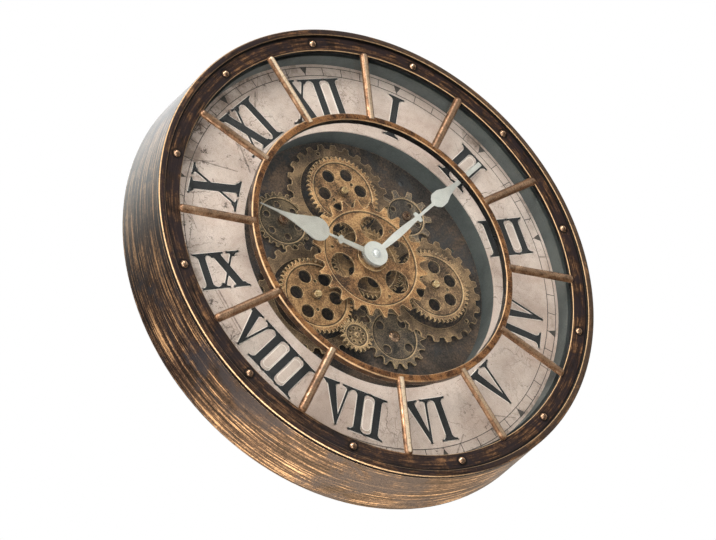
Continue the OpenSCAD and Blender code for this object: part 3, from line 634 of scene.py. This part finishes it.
def crack_lines(half_width, scale, show_scale, show_low, show_high):
    cells = add(tree, "TexVoronoi", {"Vector": bent_place, "Scale": scale},
                feature="DISTANCE_TO_EDGE").outputs["Distance"]
    line = level(tree, cells, half_width * MM * scale, half_width * MM * scale * 0.3)
    return times(tree, line, level(tree, spots(show_scale, 4.0, 0.5), show_low, show_high))


def toward(angle, low, high):
    """Mask that is 1 around a clock angle and fades as the direction turns away."""
    sweep = math.radians(angle)
    turned_to = dot(tree, flat_place, (math.sin(sweep), 0.0, math.cos(sweep)))
    return level(tree, calc(tree, "DIVIDE", turned_to, times(tree, radius, MM)), low, high)


def scratch(first, second, width, fade):
    """Straight scratch between two places, each a clock angle and a radius in millimetres."""
    ends = [Vector((r * math.sin(math.radians(a)), 0.0, r * math.cos(math.radians(a)))) * MM
            for a, r in (first, second)]
    along = ends[1] - ends[0]
    from_start = add(tree, "VectorMath", {0: flat_place, 1: ends[0]}, operation="SUBTRACT").outputs[0]
    share = level(tree, dot(tree, from_start, along / along.length_squared), 0.0, 1.0)
    nearest = add(tree, "VectorMath", {0: along, "Scale": share}, operation="SCALE").outputs[0]
    gap = add(tree, "VectorMath", {0: from_start, 1: nearest}, operation="DISTANCE").outputs["Value"]
    ragged = times(tree, level(tree, roughener, 0.35, 0.65), 0.6 * width * MM)
    return times(tree, level(tree, plus(tree, gap, ragged), width * MM, 0.4 * width * MM), fade)


brown_cloud = times(tree, toward(148, 0.93, 1.0), level(tree, spots(22.0, 6.0, 0.6), 0.4, 0.62))
upper_left = toward(302, 0.55, 0.9)
crazing = times(tree, crack_lines(0.4, 70.0, 17.0, 0.5, 0.6), 0.6)
long_cracks = crack_lines(0.7, 12.0, 9.0, 0.47, 0.58)
# clock angle and radius of one end, the same of the other end, width in millimetres, and strength
SCRATCHES = [((305.0, 231.0), (310.3, 170.0), 1.5, 0.85), ((303.5, 230.0), (309.0, 196.0), 1.2, 0.8),
             ((320.6, 183.0), (313.5, 158.0), 2.1, 0.8), ((264.3, 199.0), (250.5, 198.5), 1.6, 0.85),
             ((265.2, 203.0), (248.0, 203.0), 0.9, 0.7), ((339.8, 216.0), (335.8, 200.0), 2.0, 0.8),
             ((302.5, 192.0), (299.6, 186.0), 1.6, 0.85), ((344.0, 232.0), (338.0, 205.0), 0.8, 0.6),
             ((296.0, 228.0), (284.0, 206.0), 1.2, 0.6), ((152.0, 226.0), (158.0, 208.0), 1.4, 0.7),
             ((176.0, 230.0), (171.0, 212.0), 1.8, 0.7), ((52.0, 207.0), (58.0, 192.0), 0.7, 0.5)]
roughener = spots(300.0, 4.0, 0.7)
scratches = [scratch(*row) for row in SCRATCHES]
marks = either(tree, [crazing, long_cracks] + scratches)
# the wash near the rim and at the upper left is partly stain and partly painted shadow of the bezel
rim_reach = level(tree, radius, 196.0, 236.0)
wash_and_shade = weighed(tree, [(spots(26.0, 10.0, 0.72), 1.0), (rim_reach, 0.15), (upper_left, 0.075)])
wash_and_shade = times(tree, level(tree, wash_and_shade, 0.65, 0.76), level(tree, radius, 190.0, 216.0))
chips = weighed(tree, [(spots(68.0, 12.0, 0.8), 1.0), (upper_left, 0.045), (rim_reach, 0.04),
                       (toward(164, 0.97, 0.995), 0.05)])
flecks = times(tree, level(tree, spots(420.0, 3.0, 0.7), 0.62, 0.68),
               level(tree, spots(14.0, 4.0, 0.5), 0.48, 0.6))
# mask, strength and colour of each layer, from the card up
LAYERS = [(brown_cloud, 0.15, (156, 130, 110)),
          (level(tree, spots(520.0, 3.0, 0.8), 0.5, 0.7), 0.35, (150, 130, 117)),
          (level(tree, spots(95.0, 8.0, 0.75), 0.5, 0.64), 0.3, (146, 124, 110)),
          (marks, 0.85, (78, 60, 50)), (wash_and_shade, 0.7, (104, 82, 66)),
          (level(tree, chips, 0.635, 0.65), 0.85, (70, 54, 44)), (flecks, 0.7, (88, 72, 62))]
cream = blend(tree, level(tree, mottle["Stain"], 0.38, 0.62), srgb(182, 159, 146), srgb(209, 191, 180))
for mask, strength, colour in LAYERS:
    cream = blend(tree, times(tree, mask, strength), cream, srgb(*colour))
bump = add(tree, "Bump", {"Height": minus(tree, 1.0, marks), "Strength": 0.25, "Distance": 0.0003})
feed(tree, surface, {"Base Color": cream, "Roughness": 0.62, "Normal": bump.outputs[0]})
print("dial: dial_cream with", len(scratches), "scratches")

# %% [markdown]
# ## Glass
# A flat pane is a Principled surface with full transmission. Lamps can't shine through that cleanly in
# a path tracer, so a Light Path node makes the pane invisible to shadow rays, and the dial behind it
# gets the studio's light as it does in life.

# %% Glass material
tree, surface, place = start_material("clear_glass")
haze = use_group(tree, patina, {"Place": place, "Stain size": 6.0})["Stain"]
feed(tree, surface, {"Base Color": (0.97, 0.985, 0.98, 1.0), "Transmission Weight": 1.0, "IOR": 1.46,
                     "Roughness": level(tree, haze, 0.3, 0.7, 0.0, 0.006)})
shadow_ray = add(tree, "LightPath").outputs["Is Shadow Ray"]
let_through = add(tree, "BsdfTransparent", {"Color": (0.93, 0.95, 0.95, 1.0)}).outputs[0]
mixed = add(tree, "MixShader", {0: shadow_ray, 1: surface.outputs[0], 2: let_through})
tree.links.new(mixed.outputs[0], tree.nodes["Material Output"].inputs["Surface"])
print("glass: clear_glass")

# %% [markdown]
# ## Dress the CAD nodes
# A CAD node is never moved or changed. Its one material slot just gets a better material.

# %% Assign materials
FINISHES = {
    "case_bronze": ["case_drum"],
    "bezel_bronze": ["front_bezel"],
    "grille_bronze": ["grille_ring"],
    "bar_bronze": ["grille_bars"],
    "rivet_bronze": ["bezel_rivets", "gear_rivets"],
    "slate_paint": ["front_spacer", "rear_spacer", "gear_well"],
    "plate_paint": ["movement_plate"],
    "dial_cream": ["dial_ring"],
    "numeral_ink": ["dial_numerals"],
    "clear_glass": ["glass_pane"],
    "ring_gold": ["toothed_ring_top", "toothed_ring_right", "toothed_ring_left", "ring_standoffs",
                  "drive_shaft"],
    "fine_gold": ["centre_fine_gear"],
    "hub_bronze": ["centre_tube"],
    "screw_brass": ["axle_screws", "satellite_posts", "movement_bush"],
    "washer_bronze": ["axle_washers"],
    "ivory_enamel": ["minute_hand"],
    "old_ivory": ["hour_hand"],
    "nut_nickel": ["minute_nut"],
    "steel": ["minute_shaft", "hub_bearing", "movement_nut", "hanger_plate", "drive_motor"],
    "dark_steel": ["board_screws", "chassis_screws"],
    "black_plastic": ["drive_case", "battery_door", "movement_case", "movement_cover", "setting_knob"],
    "black_rubber": ["glass_gasket", "movement_washer", "wall_bumpers"],
    "red_plastic": ["power_switch"],
    "gear_nylon": ["reduction_gear", "motor_pinion", "hour_wheel", "minute_wheel"],
    "cell_jacket": ["drive_cells", "movement_cell"],
    "board_paint": ["back_board"],
}
FINISHES.update({name + "_gold": [name] for name, *_ in GEAR_GOLDS})
for finish, names in FINISHES.items():
    for name in names:
        slots = NODES[name].data.materials
        slots.clear()
        slots.append(MATERIALS[finish])
undressed = sorted(set(NODES) - {name for names in FINISHES.values() for name in names})
print("nodes without a finish:", undressed)

# %% [markdown]
# ## Helpers for new pieces
# New detail is modelled with bmesh operators. `turned` spins a closed outline about the dial's axis, as
# on a lathe, `plate_bar` makes one thin bar on the dial at a clock angle, and `finish_piece` turns the
# bmesh into an object that rides on a body of the CAD model. Edges sharper than the given angle stay
# crisp, and the rest shade smoothly.

# %% Piece helpers
def out_of_wall(distance):
    return -distance * MM


def clock_turn(angle):
    return Matrix.Rotation(math.radians(angle), 4, "Y")


def finish_piece(work, name, finish, body, crisp=35.0, stands_for=None):
    bmesh.ops.recalc_face_normals(work, faces=work.faces)
    for face in work.faces:
        face.smooth = True
    for edge in work.edges:
        edge.smooth = len(edge.link_faces) == 2 and edge.calc_face_angle() < math.radians(crisp)
    mesh = bpy.data.meshes.new(name)
    work.to_mesh(mesh)
    work.free()
    piece = new_object(name, mesh)
    mesh.materials.append(MATERIALS[finish])
    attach(piece, body)
    if stands_for:
        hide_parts(stands_for)
    print("piece", name, "faces", len(mesh.polygons))
    return piece


def turned(work, outline, steps=180):
    verts = [work.verts.new((0.0, out_of_wall(h), r * MM)) for r, h in outline]
    edges = [work.edges.new((verts[k - 1], verts[k])) for k in range(len(verts))]
    bmesh.ops.spin(work, geom=verts + edges, cent=(0, 0, 0), axis=(0, 1, 0), angle=2 * math.pi,
                   steps=steps, use_merge=True)


def turned_ring(work, inner, outer, low, high, steps=180):
    turned(work, [(inner, low), (outer, low), (outer, high), (inner, high)], steps)


TOUCH = 0.05          # millimetres within which a vertex counts as on a corner


def round_corners(work, corners, offset, segments=3):
    def is_at(vert, corner):
        distance = math.hypot(vert.co.x, vert.co.z) / MM
        return abs(distance - corner[0]) < TOUCH and abs(-vert.co.y / MM - corner[1]) < TOUCH
    chosen = [edge for edge in work.edges
              if any(is_at(edge.verts[0], corner) and is_at(edge.verts[1], corner) for corner in corners)]
    bmesh.ops.bevel(work, geom=chosen, offset=offset * MM, segments=segments, affect="EDGES", profile=0.5,
                    material=-1)


def plate_bar(work, angle, inner, outer, width, low, high):
    size = Matrix.Diagonal((width * MM, (high - low) * MM, (outer - inner) * MM, 1.0))
    place = Matrix.Translation((0.0, out_of_wall((low + high) / 2), (inner + outer) / 2 * MM))
    bmesh.ops.create_cube(work, size=1.0, matrix=clock_turn(angle) @ place @ size)


DIAL_OUT = 51.9
print("piece helpers ready")

# %% [markdown]
# ## Front ring, turned
# The front of the case is one spun ring: a raised outer lip, then a recessed channel with the rivets.
# CAD leaves its corners sharp, so the ring is turned again here with softly rounded corners, which
# catch the thin bright line that runs along the lip.

# %% Front ring
BEZEL_BACK, TUBE_BACK, TUBE_R = 77.5, 74.0, 237.2
bezel_work = bmesh.new()
turned(bezel_work, [(BORE_R, TUBE_BACK), (TUBE_R, TUBE_BACK), (TUBE_R, BEZEL_BACK),
                    (LIP_OUTER_R, BEZEL_BACK), (LIP_OUTER_R, LIP_OUT), (LIP_INNER_R, LIP_OUT),
                    (LIP_INNER_R, CHANNEL_OUT), (BORE_R, CHANNEL_OUT)], steps=240)
round_corners(bezel_work, [(LIP_OUTER_R, LIP_OUT)], 1.3, 4)
round_corners(bezel_work, [(LIP_INNER_R, LIP_OUT)], 0.9)
round_corners(bezel_work, [(LIP_INNER_R, CHANNEL_OUT), (BORE_R, CHANNEL_OUT)], 0.6)
finish_piece(bezel_work, "turned_front_ring", "bezel_bronze", "clock_case",
             stands_for="front_bezel")

# %% [markdown]
# ## Cast grille
# The inner ring and its twelve half-round bars look cast: nothing on them is quite straight. The ring
# is turned with rounded corners and the bars are cut from cylinders. A smooth noise then takes off up to
# a third of a millimetre, so that the surface rolls a little and breaks up its highlights.

# %% Grille ring and bars
def roll_surface(work, depth, size):
    work.normal_update()
    for vert in work.verts:
        amount = 0.5 + 0.5 * noise.noise(vert.co * size)
        vert.co -= vert.normal * (amount * depth * MM)


ring_work = bmesh.new()
RING_BACK = 73.4
turned_ring(ring_work, RING_INNER_R, RING_OUTER_R, RING_BACK, RING_OUT, steps=300)
round_corners(ring_work, [(RING_OUTER_R, RING_OUT)], 1.8, 4)
round_corners(ring_work, [(RING_INNER_R, RING_OUT)], 1.2, 3)
roll_surface(ring_work, 0.35, 130.0)
finish_piece(ring_work, "cast_ring", "grille_bronze", "clock_case", stands_for="grille_ring")

BAR_RADIUS, BAR_START, BAR_END, BAR_MIDDLE = 4.3, 152.9, 238.1, 78.8
BAR_SIDES, BAR_CUTS, BAR_SPREAD, BAR_TIP = 24, 34, 1.13, 0.12


def cast_bar(angle):
    bar = bmesh.new()
    bmesh.ops.create_cone(bar, cap_ends=True, segments=BAR_SIDES, radius1=BAR_RADIUS, radius2=BAR_RADIUS,
                          depth=2.0)
    long_edges = [edge for edge in bar.edges if abs(edge.verts[0].co.z - edge.verts[1].co.z) > 1.0]
    bmesh.ops.subdivide_edges(bar, edges=long_edges, cuts=BAR_CUTS, use_grid_fill=True)
    # the cuts crowd towards the outer end, where the bar rounds off
    for vert in bar.verts:
        share = math.sin((vert.co.z + 1.0) / 2 * math.pi / 2)
        along = BAR_START + (BAR_END - BAR_START) * share
        past = max(0.0, along - (BAR_END - BAR_RADIUS)) / BAR_RADIUS
        narrow = max(BAR_TIP, math.sqrt(max(0.0, 1.0 - past * past)))
        vert.co = Vector((vert.co.x * narrow * BAR_SPREAD, vert.co.y * narrow, along)) * MM
    roll_surface(bar, 0.16, 90.0 + angle)
    bmesh.ops.translate(bar, verts=bar.verts, vec=(0.0, out_of_wall(BAR_MIDDLE), 0.0))
    bmesh.ops.bisect_plane(bar, geom=bar.verts[:] + bar.edges[:] + bar.faces[:],
                           plane_co=(0.0, out_of_wall(CHANNEL_OUT), 0.0), plane_no=(0.0, 1.0, 0.0),
                           clear_outer=True)
    bmesh.ops.holes_fill(bar, edges=[edge for edge in bar.edges if edge.is_boundary])
    bmesh.ops.transform(bar, matrix=clock_turn(angle), verts=bar.verts)
    return bar


bars_work = bmesh.new()
for step in range(12):
    bar = cast_bar(15 + 30 * step)
    carrier = bpy.data.meshes.new("bar_carrier")
    bar.to_mesh(carrier)
    bar.free()
    bars_work.from_mesh(carrier)
    bpy.data.meshes.remove(carrier)
finish_piece(bars_work, "cast_bars", "bar_bronze", "clock_case", crisp=50.0,
             stands_for="grille_bars")

# %% [markdown]
# ## Minute track
# Two printed circles with sixty divisions run around the dial, and a small dark triangle points inwards
# at each hour. Ink has almost no thickness, so the track is a tenth of a millimetre thick: enough to
# be real geometry, too thin to see as a step.

# %% Minute track
TRACK_OUTER, TRACK_INNER, LINE = 229.6, 219.4, 0.8
INK_BACK, INK_TOP = DIAL_OUT - 0.05, DIAL_OUT + 0.1
TRACK_TURN = -0.8          # the print is turned a little against the case
POINTER_R, POINTER_T, POINTER_RING_R, POINTER_OUT = 5.6, 0.16, 227.2, DIAL_OUT + 0.06
POINTER_STRETCH = (0.95, 1.0, 1.15, 1.0)
track = bmesh.new()
for middle in (TRACK_OUTER, TRACK_INNER):
    turned_ring(track, middle - LINE / 2, middle + LINE / 2, INK_BACK, INK_TOP)
for minute in range(60):
    plate_bar(track, minute * 6 + TRACK_TURN, TRACK_INNER, TRACK_OUTER, LINE, INK_BACK, INK_TOP - 0.01)
finish_piece(track, "minute_track", "print_ink", "clock_case")

pointers = bmesh.new()
for hour in range(12):
    made = bmesh.ops.create_cone(
        pointers, cap_ends=True, segments=3, radius1=POINTER_R * MM, radius2=POINTER_R * MM,
        depth=POINTER_T * MM)
    lay_flat = (Matrix.Translation((0.0, out_of_wall(POINTER_OUT), POINTER_RING_R * MM))
                @ Matrix.Diagonal(POINTER_STRETCH) @ Matrix.Rotation(math.radians(90), 4, "X")
                @ Matrix.Rotation(math.radians(180), 4, "Z"))
    bmesh.ops.transform(pointers, matrix=clock_turn(hour * 30 + TRACK_TURN) @ lay_flat, verts=made["verts"])
finish_piece(pointers, "hour_pointers", "print_ink", "clock_case")

# %% [markdown]
# ## Raised pads between the strokes
# Between the upright strokes of a numeral the real dial shows a pad with round ends, embossed so that
# its rim catches the light. Each pad is a disc stretched to a slot shape and extruded: a pale one for
# the rim, and a slightly smaller one in the dial's cream on top of it.

# %% Numeral pads
STROKE_PITCH, STROKE_WIDTH = 20.4, 7.8
PAD_GAP, PAD_RIM, PAD_END = 1.2, 0.9, 5.5
PAD_SIDE = (STROKE_PITCH - STROKE_WIDTH) / 2 - PAD_GAP
PAD_SUNK, RIM_HIGH, PAD_HIGH = 0.05, 0.35, 0.45
# clock angle, distance of the middle from the axis, turn from upright, numeral height, and the middle
# of each gap between two uprights, measured to the right of the numeral's middle
PADS = [(0, 188, 0, 53, (16.5,)), (59.2, 186.5, 60, 52, (0.0,)), (87.65, 183.2, 0, 43.6, (-10.2, 10.2)),
        (208, 187.5, 29, 48, (15.5,)), (240, 186.5, 60, 47, (5.3, 25.7))]


def pad_slots(work, shrink, top):
    for angle, distance, turn, height, gaps in PADS:
        sweep = math.radians(angle)
        middle = Vector((distance * math.sin(sweep), 0.0, distance * math.cos(sweep))) * MM
        for gap in gaps:
            half_width, half_length = PAD_SIDE - shrink, height / 2 - PAD_END - shrink
            outline = bmesh.ops.create_circle(work, cap_ends=True, segments=32,
                                              radius=half_width * MM)["verts"]
            for vert in outline:
                vert.co.y += math.copysign(half_length - half_width, vert.co.y) * MM
            lay = (Matrix.Translation(middle) @ clock_turn(turn)
                   @ Matrix.Translation((gap * MM, out_of_wall(DIAL_OUT - PAD_SUNK), 0.0))
                   @ Matrix.Rotation(math.radians(90), 4, "X"))
            bmesh.ops.transform(work, matrix=lay, verts=outline)
            raised = bmesh.ops.extrude_face_region(work, geom=[outline[0].link_faces[0]])["geom"]
            moved = [item for item in raised if isinstance(item, bmesh.types.BMVert)]
            bmesh.ops.translate(work, verts=moved, vec=(0.0, out_of_wall(top + PAD_SUNK), 0.0))


pad_rims, pads = bmesh.new(), bmesh.new()
pad_slots(pad_rims, 0.0, RIM_HIGH)
pad_slots(pads, PAD_RIM, PAD_HIGH)
finish_piece(pad_rims, "pad_rims", "relief_edge", "clock_case")
finish_piece(pads, "numeral_pads", "relief_cream", "clock_case")

# %% [markdown]
# ## Halo of the numerals
# A pale line runs around every numeral, the edge of the embossing. The outline of the numerals is read
# from the CAD node: an edge between a front face and a side wall. A flat strip is laid along each such
# edge, half of it under the numeral, so a thin pale rim shows all round.

# %% Numeral halo
HALO_SIDE, HALO_OUT, HALO_T = 0.95, DIAL_OUT + 0.12, 0.2
FACES_FRONT, FACES_SIDE = -0.9, 0.5
numerals = bmesh.new()
numerals.from_mesh(NODES["dial_numerals"].data)
bmesh.ops.remove_doubles(numerals, verts=numerals.verts, dist=1e-6)
numerals.normal_update()
halo = bmesh.new()
for edge in numerals.edges:
    lean = sorted(face.normal.y for face in edge.link_faces)
    if len(lean) != 2 or lean[0] > FACES_FRONT or abs(lean[1]) > FACES_SIDE:
        continue
    start, end = edge.verts[0].co, edge.verts[1].co
    run = end - start
    middle = (start + end) / 2
    turn = Matrix.Rotation(math.atan2(-run.z, run.x), 4, "Y")
    place = Matrix.Translation((middle.x, out_of_wall(HALO_OUT - HALO_T / 2), middle.z))
    size = Matrix.Diagonal((run.length + 2 * HALO_SIDE * MM, HALO_T * MM, 2 * HALO_SIDE * MM, 1.0))
    bmesh.ops.create_cube(halo, size=1.0, matrix=place @ turn @ size)
numerals.free()
finish_piece(halo, "numeral_halo", "relief_edge", "clock_case")

# %% [markdown]
# ## Studio
# The photograph is a cut-out on white under soft light. The camera sees a white world, while everything
# else sees a dim room that brightens towards its upper right and the wall behind. That keeps the glass
# clear, puts a faint veil on the right of it, and lets the rim of the case pick up the bright wall.
# Two soft glows at the left stand for windows, and below the floor line the room is dark.
#
# Four softboxes light the clock from the front, the left and below, one lights the wall side, and
# `sheen_lamp` draws the pale sheen on the upper left of the case. The lamp under the case and the floor
# are hidden from glossy rays, because at a low angle lacquer mirrors almost everything, and they would
# burn out the underside of the case.

# %% World
BRIGHT_CORNER, WINDOW, WINDOW_PANE = (0.66, 0.66, 0.36), (-0.74, -0.48, 0.47), (-0.86, -0.42, 0.29)
ROOM_TINT, ROOM_BASE = (0.985, 1.0, 0.965), 0.08
world = bpy.data.worlds.new("studio_world")
bpy.context.scene.world = world
world.use_nodes = True
tree = world.node_tree
backdrop = tree.nodes["Background"]
direction = add(tree, "TexCoord").outputs["Generated"]
towards_bright = dot(tree, direction, BRIGHT_CORNER)
near_glow = level(tree, towards_bright, -0.03, 0.14, 0.0, 0.24)
far_glow = level(tree, towards_bright, 0.05, 0.8, 0.0, 0.55)
compass = split(tree, direction)
to_the_right = level(tree, compass[0], -0.6, -0.1, 0.06, 1.0)
above_floor = level(tree, compass[2], -0.25, -0.02, 0.1, 1.0)
glow = times(tree, times(tree, plus(tree, near_glow, far_glow), to_the_right), above_floor)
window_glow = level(tree, dot(tree, direction, WINDOW), 0.35, 0.95, 0.0, 1.0)
pane_glow = level(tree, dot(tree, direction, WINDOW_PANE), 0.86, 0.98, 0.0, 1.8)
for more in (window_glow, pane_glow, ROOM_BASE):
    glow = plus(tree, glow, more)
shade = add(tree, "VectorMath", {0: ROOM_TINT, "Scale": glow}, operation="SCALE").outputs[0]
seen = add(tree, "LightPath").outputs["Is Camera Ray"]
tree.links.new(blend(tree, seen, shade, (1.0, 1.0, 1.0, 1.0)), backdrop.inputs["Color"])
bpy.context.scene.view_settings.view_transform = "Standard"
print("world", world.name)

# %% Lamps and floor
def softbox(name, place, power, width, height, colour=(1.0, 1.0, 1.0)):
    data = bpy.data.lights.new(name, "AREA")
    data.shape = "RECTANGLE"
    data.size, data.size_y = width, height
    data.energy = power
    data.color = colour
    lamp = new_object(name, data)
    lamp.location = place
    lamp.rotation_euler = (-Vector(place)).to_track_quat("-Z", "Y").to_euler()
    return lamp


softbox("key_lamp", (-1.5, -1.5, 1.6), 28.0, 0.9, 0.9, (1.0, 0.97, 0.93))
softbox("top_lamp", (0.1, -1.6, 1.9), 25.0, 1.0, 1.0, (1.0, 0.98, 0.96))
softbox("low_lamp", (-1.4, -1.0, -1.0), 8.5, 1.0, 1.0, (1.0, 0.97, 0.94))
under_lamp = softbox("under_lamp", (-0.56, -0.06, -1.0), 34.0, 1.0, 1.0, (1.0, 0.98, 0.97))
under_lamp.visible_glossy = False
softbox("back_lamp", (0.6, 1.8, 1.4), 20.0, 1.5, 1.5)
softbox("sheen_lamp", (-0.4, 1.75, 1.45), 6.5, 1.1, 0.7, (0.97, 1.0, 0.95))

FLOOR_HALF, FLOOR_Z = 6.0, -1.15
floor_work = bmesh.new()
bmesh.ops.create_grid(floor_work, x_segments=2, y_segments=2, size=FLOOR_HALF,
                      matrix=Matrix.Translation((0.0, 0.0, FLOOR_Z)))
floor_mesh = bpy.data.meshes.new("studio_floor")
floor_work.to_mesh(floor_mesh)
floor_work.free()
floor = new_object("studio_floor", floor_mesh)
tree, surface, _ = start_material("floor_white")
feed(tree, surface, {"Base Color": (0.82, 0.82, 0.82, 1.0), "Roughness": 0.8})
floor_mesh.materials.append(MATERIALS["floor_white"])
floor.visible_glossy = False
print("lamps and floor placed")
